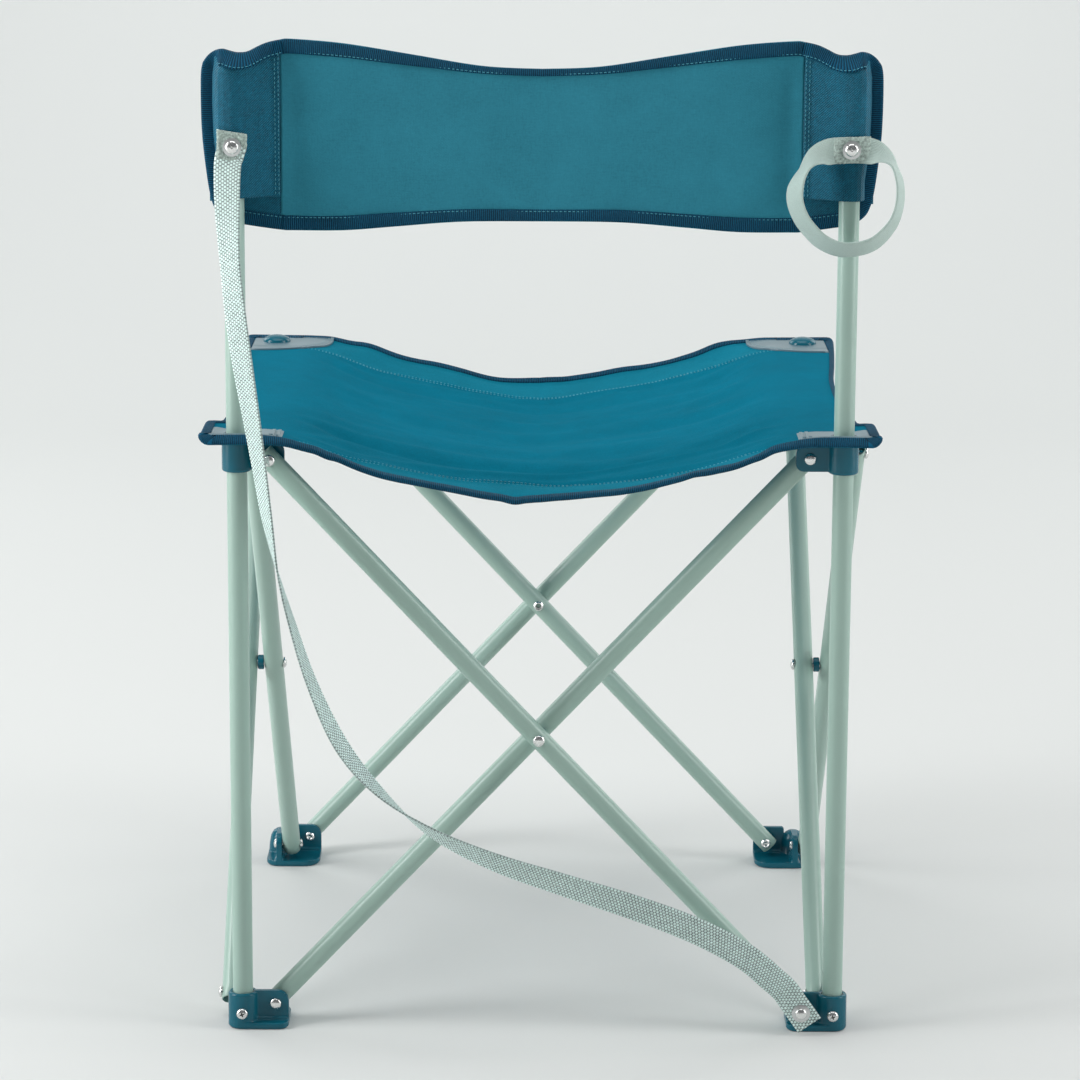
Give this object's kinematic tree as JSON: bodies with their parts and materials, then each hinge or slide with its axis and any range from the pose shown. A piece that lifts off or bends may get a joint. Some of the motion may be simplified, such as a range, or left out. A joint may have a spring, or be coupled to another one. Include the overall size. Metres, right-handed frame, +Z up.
{
  "type": "folding camp chair",
  "caption": "Folding camp chair: a scissor frame of crossed tubes, upright rear poles with a low cloth backrest, a hung cloth seat between corner joints, a carry strap and an elastic loop.",
  "frame": {"origin": "on the floor, under the middle of the four feet, with the chair opened out", "axes": "+Z up, +X to the right seen from behind, +Y the way the sitter faces; the backrest is at -Y"},
  "size_m": [0.5445, 0.571, 0.7838],
  "materials": {
    "sage_enamel": "smooth satin enamel on round steel tube",
    "petrol_plastic": "moulded, softly glossy",
    "bright_zinc": "bright zinc plate",
    "teal_cloth": "closely woven cloth, slightly coated",
    "teal_canvas": "fine canvas, matt",
    "petrol_twill": "twill, matt",
    "sage_webbing": "coarse flat webbing",
    "sage_elastic": "fine ribbed elastic band"
  },
  "bodies": {
    "left_post": {"rear_left_foot": "petrol_plastic", "left_pole": "sage_enamel", "left_pole_end_plug": "petrol_plastic", "left_foot_screw": "bright_zinc", "rear_inner_lower_rivet": "bright_zinc", "left_outer_lower_rivet": "bright_zinc", "backrest_sleeve_left": "petrol_twill", "backrest_panel": "teal_canvas", "carry_strap": "sage_webbing", "strap_rivet": "bright_zinc"},
    "rear_inner": {"rear_tube_inner": "sage_enamel", "rear_centre_rivet": "bright_zinc", "rear_spacer": "petrol_plastic"},
    "rear_outer": {"rear_tube_outer": "sage_enamel"},
    "right_post": {"rear_right_foot": "petrol_plastic", "right_pole": "sage_enamel", "right_pole_end_plug": "petrol_plastic", "right_foot_screw": "bright_zinc", "rear_outer_lower_rivet": "bright_zinc", "right_inner_lower_rivet": "bright_zinc", "backrest_sleeve_right": "petrol_twill", "strap_washer": "bright_zinc", "elastic_loop": "sage_elastic", "loop_rivet": "bright_zinc"},
    "rear_left_joint": {"rear_left_corner_joint": "petrol_plastic", "rear_left_flange_ring": "petrol_plastic", "rear_outer_upper_rivet": "bright_zinc", "left_inner_upper_rivet": "bright_zinc"},
    "rear_right_joint": {"rear_right_corner_joint": "petrol_plastic", "rear_right_flange_ring": "petrol_plastic", "rear_inner_upper_rivet": "bright_zinc", "right_outer_upper_rivet": "bright_zinc"},
    "left_outer": {"left_tube_outer": "sage_enamel", "left_centre_rivet": "bright_zinc", "left_spacer": "petrol_plastic"},
    "left_inner": {"left_tube_inner": "sage_enamel"},
    "front_left_base": {"front_left_foot": "petrol_plastic", "left_inner_lower_rivet": "bright_zinc", "front_outer_lower_rivet": "bright_zinc"},
    "front_left_joint": {"front_left_corner_joint": "petrol_plastic", "front_left_domed_plug": "petrol_plastic", "left_outer_upper_rivet": "bright_zinc", "front_inner_upper_rivet": "bright_zinc"},
    "right_inner": {"right_tube_inner": "sage_enamel", "right_centre_rivet": "bright_zinc", "right_spacer": "petrol_plastic"},
    "right_outer": {"right_tube_outer": "sage_enamel"},
    "front_right_base": {"front_right_foot": "petrol_plastic", "right_outer_lower_rivet": "bright_zinc", "front_inner_lower_rivet": "bright_zinc"},
    "front_right_joint": {"front_right_corner_joint": "petrol_plastic", "front_right_domed_plug": "petrol_plastic", "right_inner_upper_rivet": "bright_zinc", "front_outer_upper_rivet": "bright_zinc"},
    "front_outer": {"front_tube_outer": "sage_enamel", "front_centre_rivet": "bright_zinc", "front_spacer": "petrol_plastic"},
    "front_inner": {"front_tube_inner": "sage_enamel"},
    "seat_left_half": {"seat_left": "teal_cloth"},
    "seat_right_half": {"seat_right": "teal_cloth"}
  },
  "joints": [
    {"name": "fold", "type": "hinge", "parent": "left_post", "child": "rear_inner", "pos_m": [-0.209, -0.235, 0.019], "axis": [0, -1, 0], "range_deg": [0, 32], "deforming": ["backrest_panel", "carry_strap"]},
    {"name": "rear_crossing", "type": "hinge", "parent": "rear_inner", "child": "rear_outer", "pos_m": [0, -0.235, 0.241], "axis": [0, 1, 0], "range_deg": [0, 64]},
    {"name": "rear_right_foot_pivot", "type": "hinge", "parent": "rear_outer", "child": "right_post", "pos_m": [0.209, -0.235, 0.019], "axis": [0, -1, 0], "range_deg": [0, 32]},
    {"name": "rear_left_top_pivot", "type": "hinge", "parent": "rear_outer", "child": "rear_left_joint", "pos_m": [-0.209, -0.235, 0.463], "axis": [0, -1, 0], "range_deg": [0, 32]},
    {"name": "rear_right_top_pivot", "type": "hinge", "parent": "rear_inner", "child": "rear_right_joint", "pos_m": [0.209, -0.235, 0.463], "axis": [0, 1, 0], "range_deg": [0, 32]},
    {"name": "left_foot_pivot", "type": "hinge", "parent": "left_post", "child": "left_outer", "pos_m": [-0.235, -0.209, 0.019], "axis": [1, 0, 0], "range_deg": [0, 32]},
    {"name": "left_crossing", "type": "hinge", "parent": "left_outer", "child": "left_inner", "pos_m": [-0.235, 0, 0.241], "axis": [-1, 0, 0], "range_deg": [0, 64]},
    {"name": "front_left_foot_pivot", "type": "hinge", "parent": "left_inner", "child": "front_left_base", "pos_m": [-0.235, 0.209, 0.019], "axis": [1, 0, 0], "range_deg": [0, 32]},
    {"name": "front_left_top_pivot", "type": "hinge", "parent": "left_outer", "child": "front_left_joint", "pos_m": [-0.235, 0.209, 0.463], "axis": [-1, 0, 0], "range_deg": [0, 32]},
    {"name": "right_foot_pivot", "type": "hinge", "parent": "right_post", "child": "right_inner", "pos_m": [0.235, -0.209, 0.019], "axis": [1, 0, 0], "range_deg": [0, 32]},
    {"name": "right_crossing", "type": "hinge", "parent": "right_inner", "child": "right_outer", "pos_m": [0.235, 0, 0.241], "axis": [-1, 0, 0], "range_deg": [0, 64]},
    {"name": "front_right_foot_pivot", "type": "hinge", "parent": "right_outer", "child": "front_right_base", "pos_m": [0.235, 0.209, 0.019], "axis": [1, 0, 0], "range_deg": [0, 32]},
    {"name": "front_right_top_pivot", "type": "hinge", "parent": "right_inner", "child": "front_right_joint", "pos_m": [0.235, 0.209, 0.463], "axis": [-1, 0, 0], "range_deg": [0, 32]},
    {"name": "front_foot_pivot", "type": "hinge", "parent": "front_left_base", "child": "front_outer", "pos_m": [-0.209, 0.235, 0.019], "axis": [0, -1, 0], "range_deg": [0, 32]},
    {"name": "front_crossing", "type": "hinge", "parent": "front_outer", "child": "front_inner", "pos_m": [0, 0.235, 0.241], "axis": [0, 1, 0], "range_deg": [0, 64]},
    {"name": "seat_left_hang", "type": "hinge", "parent": "rear_left_joint", "child": "seat_left_half", "pos_m": [-0.215, 0, 0.4766], "axis": [0, 1, 0], "range_deg": [0, 61], "deforming": ["seat_left"]},
    {"name": "seat_right_hang", "type": "hinge", "parent": "rear_right_joint", "child": "seat_right_half", "pos_m": [0.215, 0, 0.4766], "axis": [0, -1, 0], "range_deg": [0, 61], "deforming": ["seat_right"]}
  ],
  "couplings": [
    {"joint": "rear_crossing", "follows": "fold", "ratio": 2},
    {"joint": "rear_right_foot_pivot", "follows": "fold", "ratio": 1},
    {"joint": "rear_left_top_pivot", "follows": "fold", "ratio": 1},
    {"joint": "rear_right_top_pivot", "follows": "fold", "ratio": 1},
    {"joint": "left_foot_pivot", "follows": "fold", "ratio": 1},
    {"joint": "left_crossing", "follows": "fold", "ratio": 2},
    {"joint": "front_left_foot_pivot", "follows": "fold", "ratio": 1},
    {"joint": "front_left_top_pivot", "follows": "fold", "ratio": 1},
    {"joint": "right_foot_pivot", "follows": "fold", "ratio": 1},
    {"joint": "right_crossing", "follows": "fold", "ratio": 2},
    {"joint": "front_right_foot_pivot", "follows": "fold", "ratio": 1},
    {"joint": "front_right_top_pivot", "follows": "fold", "ratio": 1},
    {"joint": "front_foot_pivot", "follows": "fold", "ratio": 1},
    {"joint": "front_crossing", "follows": "fold", "ratio": 2},
    {"joint": "seat_left_hang", "follows": "fold", "ratio": 1.893},
    {"joint": "seat_right_hang", "follows": "fold", "ratio": 1.893}
  ]
}
